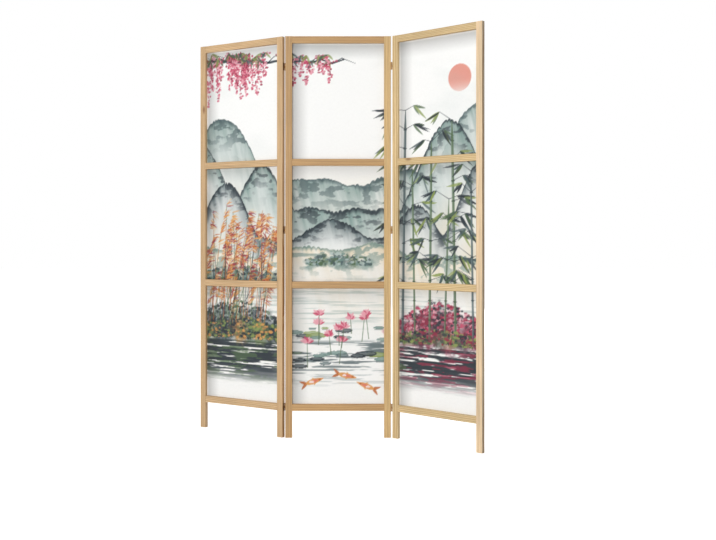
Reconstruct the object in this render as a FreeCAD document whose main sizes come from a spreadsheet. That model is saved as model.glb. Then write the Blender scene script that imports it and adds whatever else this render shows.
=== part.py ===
import FreeCAD, Part
import math
import os
import re
import Sketcher

# A folding screen of three pine panels with printed sheets, joined by butt hinges.
# X runs to the right, Y to the back and Z up. The origin is on the floor, in the
# middle of the standing screen. Lengths are in millimetres and angles in degrees.

PANELS = ("left", "centre", "right")
RAILS = ("bottom", "lower", "upper", "top")
HINGES = ("bottom", "middle", "top")
# The hinges of the left joint stand at the back, and those of the right joint at the front
JOINTS = {"back": "left", "front": "right"}
SCREW_SIDES = 8
HEAD_TAPER = -45
START, END, CENTRE = 1, 2, 3
ORIGIN, UP_AXIS = -1, -2

# Driving sizes
SIZES = {
    # Frame of one panel
    "panel_width": 450,
    "panel_height": 1710,
    "frame_thickness": 18,
    "stile_width": 29,
    "rail_width": 29,
    "leg_clearance": 114,
    "edge_bevel": 1.2,
    # Stub tenons and their mortises
    "tenon_length": 14,
    "tenon_thickness": 6,
    "tenon_setback": 3.5,
    "tenon_shoulder": 4.5,
    "mortise_fit": 0.1,
    "mortise_gap": 1,
    # Rebate at the back, with the sheet and its beads
    "rebate_width": 8,
    "rebate_depth": 5,
    "sheet_thickness": 0.4,
    "sheet_margin": 1,
    "bead_gap": 0.3,
    "bead_bevel": 0.8,
    # Brads that hold the beads
    "brad_length": 12,
    "brad_width": 1.25,
    "brad_thickness": 1,
    "side_brad_inset": 60,
    "side_brad_count": 4,
    "cross_brad_inset": 70,
    "cross_brad_count": 2,
    # Butt hinges, let in deeper at the left joint, where the stiles nearly meet
    "left_joint_gap": 1.6,
    "right_joint_gap": 4,
    "pin_standoff": 3,
    "barrel_diameter": 5,
    "pin_diameter": 2.5,
    "pin_clearance": 0.05,
    "pin_overhang": 0.5,
    "leaf_height": 32,
    "leaf_thickness": 1,
    "leaf_seat": 2.4,
    "leaf_reach": 13,
    "leaf_fit": 0.2,
    "knuckle_gap": 0.3,
    "knuckle_notch": 0.4,
    "top_hinge_drop": 127,
    "bottom_hinge_height": 129,
    "middle_hinge_raise": 29,
    # Hinge screws
    "screw_diameter": 3,
    "screw_length": 12,
    "screw_land": 0.2,
    "screw_fit": 0.05,
    "screw_inset": 7,
    "screw_spacing": 18,
    "pilot_gap": 0.5,
    # Turn of each outer panel away from the flat screen
    "left_fold": 30.5,
    "right_fold": 40,
}

# Sizes and places that follow from the driving sizes
PLACES = {
    "window_width": "panel_width - 2 * stile_width",
    "window_height": f"(panel_height - leg_clearance - {len(RAILS)} * rail_width) / {len(RAILS) - 1}",
    "rail_pitch": "window_height + rail_width",
    "bottom_rail_height": "leg_clearance",
    "lower_rail_height": "bottom_rail_height + rail_pitch",
    "upper_rail_height": "lower_rail_height + rail_pitch",
    "top_rail_height": "panel_height - rail_width",
    "window_foot": "leg_clearance + rail_width",
    "window_run": "top_rail_height - window_foot",
    "rebate_floor": "frame_thickness - rebate_depth",
    "rebate_foot": "window_foot - rebate_width",
    "rebate_head": "top_rail_height + rebate_width",
    "stile_rebate": "stile_width - rebate_width",
    "rail_rebate": "rail_width - rebate_width",
    "tenon_back": "tenon_setback + tenon_thickness",
    "tenon_top": "rail_width - tenon_shoulder",
    "sheet_overlap": "rebate_width - sheet_margin",
    "sheet_width": "window_width + 2 * sheet_overlap",
    "sheet_height": "window_run + 2 * sheet_overlap",
    "bead_width": "rebate_width - bead_gap",
    "bead_thickness": "rebate_depth - sheet_thickness",
    "bead_face": "rebate_floor + sheet_thickness",
    "side_bead_length": "window_run + 2 * bead_width",
    "cross_bead_length": "window_width + 2 * bead_width",
    "brad_inset": "bead_width / 2",
    "side_brad_run": "window_run - 2 * side_brad_inset",
    "cross_brad_run": "window_width - 2 * cross_brad_inset",
    "brad_bite": "brad_length - rebate_depth",
    "left_half_gap": "left_joint_gap / 2",
    "right_half_gap": "right_joint_gap / 2",
    "barrel_radius": "barrel_diameter / 2",
    "bore_diameter": "pin_diameter + 2 * pin_clearance",
    "notch_reach": "barrel_radius + knuckle_notch",
    "knuckle_height": "leaf_height / 3",
    "leaf_depth": "pin_standoff + leaf_reach",
    "leaf_face": "leaf_seat - leaf_thickness",
    "leaf_middle": "leaf_seat - leaf_thickness / 2",
    "screw_row": "pin_standoff + screw_inset",
    "left_let_in": "leaf_seat - left_half_gap",
    "right_let_in": "leaf_seat - right_half_gap",
    "left_proud": "leaf_thickness - left_let_in",
    "right_proud": "leaf_thickness - right_let_in",
    "bottom_hinge_level": "bottom_hinge_height",
    "top_hinge_level": "panel_height - top_hinge_drop",
    "middle_hinge_level": "(bottom_hinge_level + top_hinge_level) / 2 + middle_hinge_raise",
    "screw_head_depth": "leaf_thickness - screw_land",
    "screw_head_diameter": "screw_diameter + 2 * screw_head_depth",
    "screw_hole": "screw_diameter + 2 * screw_fit",
    "left_pilot_depth": "screw_length - left_proud + pilot_gap",
    "right_pilot_depth": "screw_length - right_proud + pilot_gap",
    # Pins from the centre panel's front left corner
    "pin_depth": "frame_thickness + pin_standoff",
    "left_pin_across": "0 - left_half_gap",
    "left_pin_deep": "pin_depth",
    "left_pin_reach": "panel_width + left_half_gap",
    "right_pin_across": "panel_width + right_half_gap",
    "right_pin_deep": "0 - pin_standoff",
    # Box of the standing screen from the same corner, less the bevels of its outermost corners
    "left_bevel": "edge_bevel * min(cos(left_fold); sin(left_fold))",
    "right_bevel": "edge_bevel * min(cos(right_fold); sin(right_fold))",
    "left_end": "left_pin_across - left_pin_reach * cos(left_fold)"
                " - pin_depth * sin(left_fold) + left_bevel",
    "right_end": "right_pin_across + right_pin_across * cos(right_fold)"
                 " + pin_depth * sin(right_fold) - right_bevel",
    "back_end": "left_pin_deep + left_pin_reach * sin(left_fold)"
                " - pin_standoff * cos(left_fold) - left_bevel",
    "front_end": "right_pin_deep - right_pin_across * sin(right_fold)"
                 " + pin_standoff * cos(right_fold) + right_bevel",
    # Front left corner and turn of each panel
    "centre_across": "0 - (left_end + right_end) / 2",
    "centre_deep": "0 - (front_end + back_end) / 2",
    "centre_turn": "0",
    "left_across": "centre_across + left_pin_across - left_pin_reach * cos(left_fold)"
                   " - left_pin_deep * sin(left_fold)",
    "left_deep": "centre_deep + left_pin_deep + left_pin_reach * sin(left_fold)"
                 " - left_pin_deep * cos(left_fold)",
    "left_turn": "0 - left_fold",
    "right_across": "centre_across + right_pin_across + right_half_gap * cos(right_fold)"
                    " + pin_standoff * sin(right_fold)",
    "right_deep": "centre_deep + right_pin_deep - right_half_gap * sin(right_fold)"
                  " + pin_standoff * cos(right_fold)",
    "right_turn": "0 - right_fold",
}

doc = FreeCAD.newDocument("FoldingScreen")
sub_parts = []


# Sheets and expressions

def linked(text, own_names=()):
    """Point the plain names of an expression at the sheet that holds them."""
    def reference(match):
        word = match.group()
        if word in own_names:
            return word
        if word in SIZES:
            return "Sizes." + word
        if word in PLACES:
            return "Places." + word
        return word
    return re.sub("[a-z_]+", reference, text)


def fill_sheet(name, rows):
    """Write a sheet with a title, a value and an alias on each row."""
    sheet = doc.addObject("Spreadsheet::Sheet", name)
    for number, (alias, content) in enumerate(rows, 1):
        sheet.set(f"A{number}", alias.replace("_", " "))
        sheet.set(f"B{number}", content)
        sheet.setAlias(f"B{number}", alias)
    return sheet


def make_sheets():
    """Make the sheet of driving sizes and the sheet of what follows from them."""
    sizes = fill_sheet("Sizes", [(alias, str(number)) for alias, number in SIZES.items()])
    doc.recompute()
    formulas = [(alias, "=" + linked(text, PLACES)) for alias, text in PLACES.items()]
    places = fill_sheet("Places", formulas)
    doc.recompute()
    return sizes, places


def size(name):
    """Read a number back from the sheet that holds it."""
    if name in SIZES:
        return sizes.get(name)
    return places.get(name)


def bind(thing, settings):
    """Tie properties of a document object to expressions."""
    for path, text in settings.items():
        thing.setExpression(path, linked(text))


# Sketches

def new_body(name):
    """Start the body of one sub-part."""
    body = doc.addObject("PartDesign::Body", name)
    body.Label = name
    body.AllowCompound = True
    sub_parts.append(body)
    return body


def origin_feature(body, role):
    """Find a plane or an axis of a body's own origin."""
    for feature in body.Origin.OriginFeatures:
        if feature.Role == role:
            return feature
    raise ValueError(role)


def new_sketch(body, name, role, offset=None):
    """Attach a sketch to an origin plane of its body, moved by an offset."""
    sketch = body.newObject("Sketcher::SketchObject", name)
    sketch.AttachmentSupport = [(origin_feature(body, role), "")]
    sketch.MapMode = "FlatFace"
    for axis, text in (offset or {}).items():
        bind(sketch, {f"AttachmentOffset.Base.{axis}": text})
    return sketch


def hold_point(sketch, geometry, point, direction, text):
    """Hold a point at a distance from the sketch's origin, or on its axis."""
    if text == "0":
        axis = UP_AXIS if direction == "DistanceX" else ORIGIN
        sketch.addConstraint(Sketcher.Constraint("PointOnObject", geometry, point, axis))
        return
    rule = Sketcher.Constraint(direction, ORIGIN, START, geometry, point, 1.0)
    number = sketch.addConstraint(rule)
    bind(sketch, {f"Constraints[{number}]": text})


def unit_corner(index, count):
    """Give a corner of a regular outline of unit size, which the constraints then shape."""
    angle = 2 * math.pi * index / count
    return FreeCAD.Vector(math.cos(angle), math.sin(angle), 0)


def draw_outline(sketch, corners):
    """Draw a closed outline whose corners are pairs of expressions."""
    first = len(sketch.Geometry)
    count = len(corners)
    for index in range(count):
        line = Part.LineSegment(unit_corner(index, count), unit_corner(index + 1, count))
        sketch.addGeometry(line, False)
    for index, (across, up) in enumerate(corners):
        line = first + index
        following = (index + 1) % count
        sketch.addConstraint(Sketcher.Constraint("Coincident", line, END, first + following, START))
        if across == corners[following][0]:
            sketch.addConstraint(Sketcher.Constraint("Vertical", line))
        if up == corners[following][1]:
            sketch.addConstraint(Sketcher.Constraint("Horizontal", line))
    for index, (across, up) in enumerate(corners):
        if across != corners[index - 1][0]:
            hold_point(sketch, first + index, START, "DistanceX", across)
        if up != corners[index - 1][1]:
            hold_point(sketch, first + index, START, "DistanceY", up)


def draw_rectangle(sketch, left, right, low, high):
    """Draw a rectangle between four expressions."""
    draw_outline(sketch, [(left, low), (right, low), (right, high), (left, high)])


def draw_screw(sketch, across, up, width):
    """Draw the cross section of a screw, with a few flat sides, by its width across them."""
    half_side = math.pi / SCREW_SIDES
    corners = []
    for index in range(SCREW_SIDES):
        turn = half_side * (2 * index + 1)
        shares = [turned(turn) / math.cos(half_side) / 2 for turned in (math.cos, math.sin)]
        corners.append((f"{across} + {shares[0]:.6f} * {width}", f"{up} + {shares[1]:.6f} * {width}"))
    draw_outline(sketch, corners)


def draw_circle(sketch, across, up, diameter):
    """Draw a circle about a point given by two expressions."""
    circle = Part.Circle(FreeCAD.Vector(0, 0, 0), FreeCAD.Vector(0, 0, 1), 1)
    number = sketch.addGeometry(circle, False)
    if across == up == "0":
        rule = Sketcher.Constraint("Coincident", number, CENTRE, ORIGIN, START)
        sketch.addConstraint(rule)
    else:
        hold_point(sketch, number, CENTRE, "DistanceX", across)
        hold_point(sketch, number, CENTRE, "DistanceY", up)
    rule = sketch.addConstraint(Sketcher.Constraint("Diameter", number, 1.0))
    bind(sketch, {f"Constraints[{rule}]": diameter})


# Features

def volume_of(body):
    """Read a body's volume, which is zero before its first feature."""
    return body.Shape.Volume if body.Tip and not body.Shape.isNull() else 0


def finish(body, feature, grows):
    """Make a feature the tip, and check that it added or removed material."""
    before = volume_of(body)
    body.Tip = feature
    doc.recompute()
    change = volume_of(body) - before
    if not feature.isValid() or (change > 0) != grows or change == 0:
        raise RuntimeError(f"{body.Label}: {feature.Label} changed the volume by {change}")
    return feature


def pad(body, name, sketch, length, away=False, middle=False, taper=0):
    """Add a sketch's outline to the body over a length."""
    feature = body.newObject("PartDesign::Pad", name)
    feature.Profile = sketch
    feature.Reversed = away
    feature.Midplane = middle
    feature.TaperAngle = taper
    bind(feature, {"Length": length})
    return finish(body, feature, True)


def pocket(body, name, sketch, length, away=False, middle=False):
    """Cut a sketch's outline out of the body over a length."""
    feature = body.newObject("PartDesign::Pocket", name)
    feature.Profile = sketch
    feature.Reversed = away
    feature.Midplane = middle
    bind(feature, {"Length": length})
    return finish(body, feature, False)


def repeat(body, name, originals, role, length, count, grows):
    """Repeat features along an axis, from the first to the last over a length."""
    pattern = body.newObject("PartDesign::LinearPattern", name)
    pattern.Originals = originals
    pattern.Direction = (origin_feature(body, role), [""])
    bind(pattern, {"Length": length, "Occurrences": count})
    return finish(body, pattern, grows)


def bevel(body, name, amount, chosen):
    """Bevel the tip's edges that a test chooses."""
    base = body.Tip
    edges = [f"Edge{number}" for number, edge in enumerate(base.Shape.Edges, 1) if chosen(edge)]
    feature = body.newObject("PartDesign::Chamfer", name)
    feature.Base = (base, edges)
    bind(feature, {"Size": amount})
    return finish(body, feature, False)


def runs_along(edge, axis):
    """Tell whether a straight edge runs along x, y or z."""
    ends = edge.Vertexes[-1].Point - edge.Vertexes[0].Point
    return ends.Length > 0 and abs(getattr(ends.normalize(), axis)) > math.cos(math.pi / 4)


def stand_in_panel(body, panel, across="0", deep="0", up="0"):
    """Place a sub-part by its corner, measured in its panel from the panel's front left foot."""
    turn = f"{panel}_turn"
    bind(body, {
        "Placement.Base.x": f"{panel}_across + cos({turn}) * ({across}) - sin({turn}) * ({deep})",
        "Placement.Base.y": f"{panel}_deep + sin({turn}) * ({across}) + cos({turn}) * ({deep})",
        "Placement.Base.z": up,
        "Placement.Rotation.Angle": turn,
    })


# Brads and the slots that they leave

def brad_sides(body, name, centre, away, along):
    """Draw the cross section of a brad, whose long side lies along x or z."""
    across, up = centre
    half_long, half_short = "brad_width / 2", "brad_thickness / 2"
    half_across, half_up = (half_short, half_long) if along == "z" else (half_long, half_short)
    sketch = new_sketch(body, name, "XZ_Plane", {"z": away})
    draw_rectangle(sketch, f"{across} - {half_across}", f"{across} + {half_across}",
                   f"{up} - {half_up}", f"{up} + {half_up}")
    return sketch


def repeat_brads(body, brad, along, grows):
    """Repeat a brad, or its slot, along a side or a cross bead."""
    kind = "side" if along == "z" else "cross"
    role = "Z_Axis" if along == "z" else "X_Axis"
    repeat(body, f"{kind.title()}Brads", [brad], role, f"{kind}_brad_run", f"{kind}_brad_count", grows)


def slot_frame(body, centre, along):
    """Cut the slots of the brads into a stile or a rail, from the rebate's floor."""
    sketch = brad_sides(body, "SlotOutline", centre, "0 - rebate_floor", along)
    slot = pocket(body, "Slot", sketch, "brad_bite", away=True)
    repeat_brads(body, slot, along, False)


def slot_bead(body, centre, along):
    """Cut the slots of the brads through a bead."""
    sketch = brad_sides(body, "SlotOutline", centre, "0", along)
    slot = pocket(body, "Slot", sketch, "bead_thickness")
    repeat_brads(body, slot, along, False)


# Wooden frame

def cut_mortises(body, hand):
    """Cut the mortises of the rails into the inner face of a stile."""
    inner = "stile_width" if hand == "left" else "0"
    sketch = new_sketch(body, "MortiseOutline", "YZ_Plane", {"z": inner})
    draw_rectangle(sketch, "tenon_setback - mortise_fit", "tenon_back + mortise_fit",
                   "leg_clearance + tenon_shoulder - mortise_fit",
                   "leg_clearance + tenon_top + mortise_fit")
    first = pocket(body, "Mortise", sketch, "tenon_length + mortise_gap", away=(hand == "right"))
    repeat(body, "Mortises", [first], "Z_Axis", f"{len(RAILS) - 1} * rail_pitch",
           str(len(RAILS)), False)


def screw_places(face):
    """List the screws of one side of a panel as pairs of depth and height."""
    deep = "screw_inset" if face == "front" else "frame_thickness - screw_inset"
    return [(deep, f"{level}_hinge_level {sign} screw_spacing / 2")
            for level in HINGES for sign in ("-", "+")]


def let_in_hinges(body, hand, face):
    """Cut the seats of the hinge leaves and the pilot holes into the outer face of a stile."""
    joint = JOINTS[face]
    outer = "0" if hand == "left" else "stile_width"
    inwards = hand == "left"
    front = "0" if face == "front" else "frame_thickness - leaf_reach - leaf_fit"
    back = "leaf_reach + leaf_fit" if face == "front" else "frame_thickness"
    seats = new_sketch(body, "SeatOutlines", "YZ_Plane", {"z": outer})
    for level in HINGES:
        middle = f"{level}_hinge_level"
        draw_rectangle(seats, front, back, f"{middle} - leaf_height / 2 - leaf_fit",
                       f"{middle} + leaf_height / 2 + leaf_fit")
    pocket(body, "HingeSeats", seats, f"{joint}_let_in", away=inwards)
    holes = new_sketch(body, "PilotOutlines", "YZ_Plane", {"z": outer})
    for deep, up in screw_places(face):
        draw_screw(holes, deep, up, "screw_hole")
    pocket(body, "PilotHoles", holes, f"{joint}_pilot_depth", away=inwards)


def make_stile(panel, hand, hinge_face):
    """Make a stile that runs down as a leg, rebated behind the windows."""
    body = new_body(f"{panel}_panel_{hand}_stile")
    sketch = new_sketch(body, "Section", "XY_Plane")
    draw_rectangle(sketch, "0", "stile_width", "0", "frame_thickness")
    pad(body, "Length", sketch, "panel_height")
    bevel(body, "LongEdges", "edge_bevel", lambda edge: runs_along(edge, "z"))
    rebate = new_sketch(body, "RebateOutline", "XZ_Plane", {"z": "0 - rebate_floor"})
    left, right = ("stile_rebate", "stile_width") if hand == "left" else ("0", "rebate_width")
    draw_rectangle(rebate, left, right, "rebate_foot", "rebate_head")
    pocket(body, "Rebate", rebate, "rebate_depth")
    cut_mortises(body, hand)
    row = "stile_width - brad_inset" if hand == "left" else "brad_inset"
    slot_frame(body, (row, "window_foot + side_brad_inset"), "z")
    if hinge_face:
        let_in_hinges(body, hand, hinge_face)
    stand_in_panel(body, panel, "0" if hand == "left" else "stile_width + window_width")


def add_tenons(body):
    """Add a stub tenon to each end of a rail."""
    for name, offset, away in (("LeftTenon", "0", True), ("RightTenon", "window_width", False)):
        sketch = new_sketch(body, f"{name}Outline", "YZ_Plane", {"z": offset})
        draw_rectangle(sketch, "tenon_setback", "tenon_back", "tenon_shoulder", "tenon_top")
        pad(body, name, sketch, "tenon_length", away=away)


def make_rail(panel, level):
    """Make a rail: the outer two are rebated, and the middle two stop at the sheet."""
    body = new_body(f"{panel}_panel_{level}_rail")
    outer = level in (RAILS[0], RAILS[-1])
    sketch = new_sketch(body, "Section", "YZ_Plane")
    draw_rectangle(sketch, "0", "frame_thickness" if outer else "rebate_floor", "0", "rail_width")
    pad(body, "Length", sketch, "window_width")
    floor = size("rebate_floor")
    bevel(body, "LongEdges", "edge_bevel",
          lambda edge: runs_along(edge, "x") and (outer or edge.CenterOfMass.y < floor / 2))
    if outer:
        low, high = ("0", "rebate_width") if level == "top" else ("rail_rebate", "rail_width")
        rebate = new_sketch(body, "RebateOutline", "YZ_Plane", {"z": "window_width"})
        draw_rectangle(rebate, "rebate_floor", "frame_thickness", low, high)
        pocket(body, "Rebate", rebate, "window_width")
        row = "brad_inset" if level == "top" else "rail_width - brad_inset"
        slot_frame(body, ("cross_brad_inset", row), "x")
    add_tenons(body)
    stand_in_panel(body, panel, "stile_width", "0", f"{level}_rail_height")


# Sheet, beads and brads

def make_sheet(panel):
    """Make the printed sheet that lies against the rebate's floor and the middle rails."""
    body = new_body(f"{panel}_panel_printed_sheet")
    sketch = new_sketch(body, "Outline", "XZ_Plane")
    draw_rectangle(sketch, "0", "sheet_width", "0", "sheet_height")
    pad(body, "Thickness", sketch, "sheet_thickness", away=True)
    edge = "sheet_overlap - brad_inset"
    for name, across in (("Left", edge), ("Right", "sheet_width - sheet_overlap + brad_inset")):
        outline = brad_sides(body, f"{name}Outline", (across, "sheet_overlap + side_brad_inset"),
                             "0", "z")
        slot = pocket(body, f"{name}Slot", outline, "sheet_thickness")
        repeat_brads(body, slot, "z", False)
    for name, up in (("Low", edge), ("High", "sheet_height - sheet_overlap + brad_inset")):
        outline = brad_sides(body, f"{name}Outline", ("sheet_overlap + cross_brad_inset", up),
                             "0", "x")
        slot = pocket(body, f"{name}Slot", outline, "sheet_thickness")
        repeat_brads(body, slot, "x", False)
    stand_in_panel(body, panel, "stile_width - sheet_overlap", "rebate_floor",
                   "window_foot - sheet_overlap")


def make_side_bead(panel, hand):
    """Make an upright bead with mitred ends, longer at its outer edge."""
    body = new_body(f"{panel}_panel_{hand}_bead")
    outer, inner = ("0", "bead_width") if hand == "left" else ("bead_width", "0")
    sketch = new_sketch(body, "Outline", "XZ_Plane")
    draw_outline(sketch, [(outer, "0"), (inner, "bead_width"),
                          (inner, "side_bead_length - bead_width"), (outer, "side_bead_length")])
    pad(body, "Thickness", sketch, "bead_thickness", away=True)
    middle = size("bead_width") / 2
    depth = size("bead_thickness") / 2

    def at_window(edge):
        """Choose the edge that shows beside the window, at the back."""
        place = edge.CenterOfMass
        beside = (place.x > middle) == (hand == "left")
        return runs_along(edge, "z") and beside and place.y > depth
    bevel(body, "WindowEdge", "bead_bevel", at_window)
    slot_bead(body, ("brad_inset", "bead_width + side_brad_inset"), "z")
    across = "stile_width - bead_width" if hand == "left" else "stile_width + window_width"
    stand_in_panel(body, panel, across, "bead_face", "window_foot - bead_width")


def make_cross_bead(panel, level):
    """Make a level bead with mitred ends, longer at its outer edge."""
    body = new_body(f"{panel}_panel_{level}_bead")
    outer, inner = ("0", "bead_width") if level == "bottom" else ("bead_width", "0")
    sketch = new_sketch(body, "Outline", "XZ_Plane")
    draw_outline(sketch, [("0", outer), ("cross_bead_length", outer),
                          ("cross_bead_length - bead_width", inner), ("bead_width", inner)])
    pad(body, "Thickness", sketch, "bead_thickness", away=True)
    middle = size("bead_width") / 2
    depth = size("bead_thickness") / 2

    def at_window(edge):
        """Choose the edge that shows beside the window, at the back."""
        place = edge.CenterOfMass
        beside = (place.z > middle) == (level == "bottom")
        return runs_along(edge, "x") and beside and place.y > depth
    bevel(body, "WindowEdge", "bead_bevel", at_window)
    slot_bead(body, ("bead_width + cross_brad_inset", "brad_inset"), "x")
    up = "window_foot - bead_width" if level == "bottom" else "top_rail_height"
    stand_in_panel(body, panel, "stile_width - bead_width", "bead_face", up)


def make_brads(panel):
    """Make the brads of a panel as one group, flush with the beads."""
    body = new_body(f"{panel}_panel_brads")
    side_up = "window_foot + side_brad_inset"
    cross_across = "stile_width + cross_brad_inset"
    far_side = "stile_width + window_width + brad_inset"
    rows = (("Left", ("stile_width - brad_inset", side_up), "z"),
            ("Right", (far_side, side_up), "z"),
            ("Low", (cross_across, "window_foot - brad_inset"), "x"),
            ("High", (cross_across, "top_rail_height + brad_inset"), "x"))
    for name, centre, along in rows:
        outline = brad_sides(body, f"{name}Outline", centre, "0 - frame_thickness", along)
        brad = pad(body, f"{name}Brad", outline, "brad_length")
        repeat_brads(body, brad, along, True)
    stand_in_panel(body, panel)


# Hinges

def make_leaf(joint, level, carrier):
    """Make a hinge leaf about its pin: the centre leaf has two knuckles, the outer leaf one."""
    body = new_body(f"{joint}_joint_{level}_hinge_{carrier}_leaf")
    plate = new_sketch(body, "PlateOutline", "YZ_Plane", {"z": "leaf_face"})
    draw_rectangle(plate, "0", "leaf_depth", "0 - leaf_height / 2", "leaf_height / 2")
    pad(body, "Plate", plate, "leaf_thickness")
    barrel = new_sketch(body, "BarrelOutline", "XY_Plane")
    draw_circle(barrel, "0", "0", "barrel_diameter")
    pad(body, "Barrel", barrel, "leaf_height", middle=True)
    bore = new_sketch(body, "BoreOutline", "XY_Plane")
    draw_circle(bore, "0", "0", "bore_diameter")
    pocket(body, "Bore", bore, "2 * leaf_height", middle=True)
    if carrier == "centre":
        cut_notch(body, "Notch", "0", "knuckle_height + knuckle_gap", middle=True)
    else:
        length = "knuckle_height + knuckle_gap / 2"
        cut_notch(body, "HighNotch", "leaf_height / 2", length)
        cut_notch(body, "LowNotch", "0 - leaf_height / 2", length, away=True)
    sink_screws(body)
    hang_leaf(body, joint, level, carrier)


def cut_notch(body, name, offset, length, **ways):
    """Cut away the barrel of a leaf, and the plate beside it, where a knuckle of the other turns."""
    sketch = new_sketch(body, f"{name}Outline", "XY_Plane", {"z": offset})
    draw_rectangle(sketch, "0 - notch_reach", "notch_reach", "0 - notch_reach", "notch_reach")
    pocket(body, name, sketch, length, **ways)


def sink_screws(body):
    """Cut the two countersunk screw holes of a leaf."""
    sketch = new_sketch(body, "ScrewPlaces", "YZ_Plane", {"z": "leaf_face"})
    for sign in ("-", "+"):
        draw_screw(sketch, "screw_row", f"0 {sign} screw_spacing / 2", "screw_hole")
    pocket(body, "ScrewHoles", sketch, "leaf_thickness", away=True)
    middle, row, width = size("leaf_middle"), size("screw_row"), size("screw_hole")

    def at_mouth(edge):
        """Choose the edges of the holes on the face that the screw heads enter."""
        near = abs(edge.CenterOfMass.y - row) < width and edge.Length < width
        return near and edge.BoundBox.XMax < middle
    bevel(body, "Countersinks", "screw_head_depth", at_mouth)


def hang_leaf(body, joint, level, carrier):
    """Place a leaf on its pin, turned to the stile that carries it."""
    across, deep = f"{joint}_pin_across", f"{joint}_pin_deep"
    over = {"left": FreeCAD.Vector(1, 0, 0), "right": FreeCAD.Vector(0, 1, 0)}
    if carrier == "centre":
        body.Placement = FreeCAD.Placement(FreeCAD.Vector(), FreeCAD.Rotation(over[joint], 180))
    elif joint == "left":
        bind(body, {"Placement.Rotation.Angle": "left_turn + 180"})
    else:
        bind(body, {"Placement.Rotation.Angle": "right_turn"})
    bind(body, {
        "Placement.Base.x": f"centre_across + {across}",
        "Placement.Base.y": f"centre_deep + {deep}",
        "Placement.Base.z": f"{level}_hinge_level",
    })


def make_pin(joint, level):
    """Make a hinge pin, which stands out of the knuckles at both ends."""
    body = new_body(f"{joint}_joint_{level}_hinge_pin")
    sketch = new_sketch(body, "Section", "XY_Plane")
    draw_circle(sketch, "0", "0", "pin_diameter")
    pad(body, "Length", sketch, "leaf_height + 2 * pin_overhang", middle=True)
    bind(body, {
        "Placement.Base.x": f"centre_across + {joint}_pin_across",
        "Placement.Base.y": f"centre_deep + {joint}_pin_deep",
        "Placement.Base.z": f"{level}_hinge_level",
    })


def make_screws(panel, rows):
    """Make the hinge screws of a panel as one group, driven into its sides."""
    body = new_body(f"{panel}_panel_hinge_screws")
    for hand, face in rows:
        proud = f"{JOINTS[face]}_proud"
        across = f"0 - {proud}" if hand == "left" else f"panel_width + {proud}"
        backwards = hand == "right"
        heads = new_sketch(body, f"{hand.title()}HeadOutlines", "YZ_Plane", {"z": across})
        shanks = new_sketch(body, f"{hand.title()}ShankOutlines", "YZ_Plane", {"z": across})
        for deep, up in screw_places(face):
            draw_screw(heads, deep, up, "screw_head_diameter")
            draw_screw(shanks, deep, up, "screw_diameter")
        pad(body, f"{hand.title()}Heads", heads, "screw_head_depth", away=backwards,
            taper=HEAD_TAPER)
        pad(body, f"{hand.title()}Shanks", shanks, "screw_length", away=backwards)
    stand_in_panel(body, panel)


# The whole screen

def check_and_write():
    """Check every object and every sub-part, then write each sub-part to its file."""
    doc.recompute()
    for thing in doc.Objects:
        if "Invalid" in thing.State or "Error" in thing.State:
            raise RuntimeError(f"{thing.Label} failed: {thing.State}")
    for body in sub_parts:
        if body.Shape.isNull() or not body.Shape.isValid():
            raise RuntimeError(f"{body.Label} has no valid shape")
    os.makedirs("parts", exist_ok=True)
    for body in sub_parts:
        body.Shape.exportStep(f"parts/{body.Label}.step")


def make_screen():
    """Make every sub-part of the screen."""
    hinge_faces = {"left": {"left": None, "right": "back"},
                   "centre": {"left": "back", "right": "front"},
                   "right": {"left": "front", "right": None}}
    for panel in PANELS:
        for hand, face in hinge_faces[panel].items():
            make_stile(panel, hand, face)
            make_side_bead(panel, hand)
        for level in RAILS:
            make_rail(panel, level)
        for level in (RAILS[0], RAILS[-1]):
            make_cross_bead(panel, level)
        make_sheet(panel)
        make_brads(panel)
        make_screws(panel, [row for row in hinge_faces[panel].items() if row[1]])
    for joint in ("left", "right"):
        for level in HINGES:
            for carrier in ("centre", "outer"):
                make_leaf(joint, level, carrier)
            make_pin(joint, level)


sizes, places = make_sheets()
make_screen()
check_and_write()
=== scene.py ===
import math
import random

import bpy
import numpy as np
from bpy.props import FloatProperty, FloatVectorProperty, IntProperty, PointerProperty
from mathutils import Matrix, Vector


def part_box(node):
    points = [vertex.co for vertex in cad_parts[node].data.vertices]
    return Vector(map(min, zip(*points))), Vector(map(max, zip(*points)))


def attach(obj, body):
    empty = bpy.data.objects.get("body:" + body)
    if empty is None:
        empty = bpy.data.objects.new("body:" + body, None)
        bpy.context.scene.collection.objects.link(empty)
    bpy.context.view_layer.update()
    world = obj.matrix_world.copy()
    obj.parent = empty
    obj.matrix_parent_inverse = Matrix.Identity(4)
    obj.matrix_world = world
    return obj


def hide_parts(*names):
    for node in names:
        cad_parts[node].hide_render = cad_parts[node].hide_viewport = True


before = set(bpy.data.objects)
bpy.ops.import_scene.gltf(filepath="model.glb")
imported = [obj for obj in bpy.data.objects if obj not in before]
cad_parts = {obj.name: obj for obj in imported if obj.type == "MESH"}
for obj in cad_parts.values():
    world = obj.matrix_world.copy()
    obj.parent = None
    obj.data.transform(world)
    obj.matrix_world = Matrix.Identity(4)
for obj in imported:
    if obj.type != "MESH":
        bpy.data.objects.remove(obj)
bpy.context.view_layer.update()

bl_info = {
    "name": "Folding screen",
    "version": (1, 0, 0),
    "blender": (4, 5, 0),
    "location": "3D View > Sidebar > Folding screen",
    "description": "Finishes a pine folding screen of three panels with printed non-woven sheets",
    "category": "Object",
}

PANELS = ("left", "centre", "right")
BARS = ("left_stile", "right_stile", "bottom_rail", "lower_rail", "upper_rail", "top_rail")
BEADS = ("left_bead", "right_bead", "bottom_bead", "top_bead")
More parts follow.
